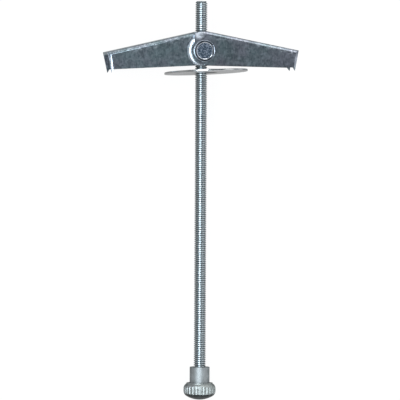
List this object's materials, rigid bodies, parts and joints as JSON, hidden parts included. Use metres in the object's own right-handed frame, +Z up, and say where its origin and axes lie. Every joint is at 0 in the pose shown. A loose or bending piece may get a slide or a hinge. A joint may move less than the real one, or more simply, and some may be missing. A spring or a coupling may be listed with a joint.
{
  "type": "spring toggle bolt",
  "caption": "Spring toggle bolt at rest: threaded rod with two sprung folding wings on a pivot nut, a loose washer behind them and a knurled nut with a collar.",
  "frame": {"origin": "centre of the footprint, on the ground, with the bolt lying at rest on the knurled nut's head, the washer's rim and the tip of the left wing", "axes": "+Y along the rod towards its free end and the toggle (the rod itself rises 3.8 degrees), +Z up, +X towards the right wing"},
  "size_m": [0.0636, 0.1307, 0.0274],
  "materials": {
    "rod_zinc": "bright zinc plate on a rolled thread",
    "nut_steel": "dark zinc plate, rough riveted faces",
    "spring_steel": "drawn wire, zinc plated",
    "wing_zinc": "zinc plated sheet with faint mottling",
    "washer_zinc": "pale satin zinc plate",
    "knob_zinc": "satin zinc plate, knurled side"
  },
  "bodies": {
    "rod": {"threaded_rod": "rod_zinc"},
    "toggle": {"pivot_nut": "nut_steel", "torsion_spring": "spring_steel"},
    "left_wing": {"wing_left": "wing_zinc"},
    "right_wing": {"wing_right": "wing_zinc"},
    "loose_washer": {"washer": "washer_zinc"},
    "knob": {"knurled_nut": "knob_zinc"}
  },
  "joints": [
    {"name": "toggle_turn", "type": "hinge", "parent": "rod", "child": "toggle", "pos_m": [0, 0.04895, 0.01271], "axis": [0, 0.9978, 0.0667], "continuous": true},
    {"name": "wing_left_fold", "type": "hinge", "parent": "toggle", "child": "left_wing", "pos_m": [0, 0.04895, 0.01271], "axis": [-0.2756, -0.0641, 0.9591], "range_deg": [0, 80], "stiffness_Nm_per_rad": 0.01, "springref_deg": -28.65, "deforming": ["torsion_spring"]},
    {"name": "wing_right_fold", "type": "hinge", "parent": "toggle", "child": "right_wing", "pos_m": [0, 0.04895, 0.01271], "axis": [0.2756, 0.0641, -0.9591], "range_deg": [0, 80], "stiffness_Nm_per_rad": 0.01, "springref_deg": -28.65, "deforming": ["torsion_spring"]},
    {"name": "washer_slide", "type": "slide", "parent": "rod", "child": "loose_washer", "axis": [0, -0.9978, -0.0667], "range_m": [0, 0.0961]},
    {"name": "knob_turn", "type": "hinge", "parent": "rod", "child": "knob", "pos_m": [0, -0.05981, 0.00544], "axis": [0, 0.9978, 0.0667], "continuous": true}
  ],
  "couplings": [
    {"joint": "wing_left_fold", "follows": "washer_slide", "rad_per_m": 14.528},
    {"joint": "wing_right_fold", "follows": "washer_slide", "rad_per_m": 14.528}
  ]
}
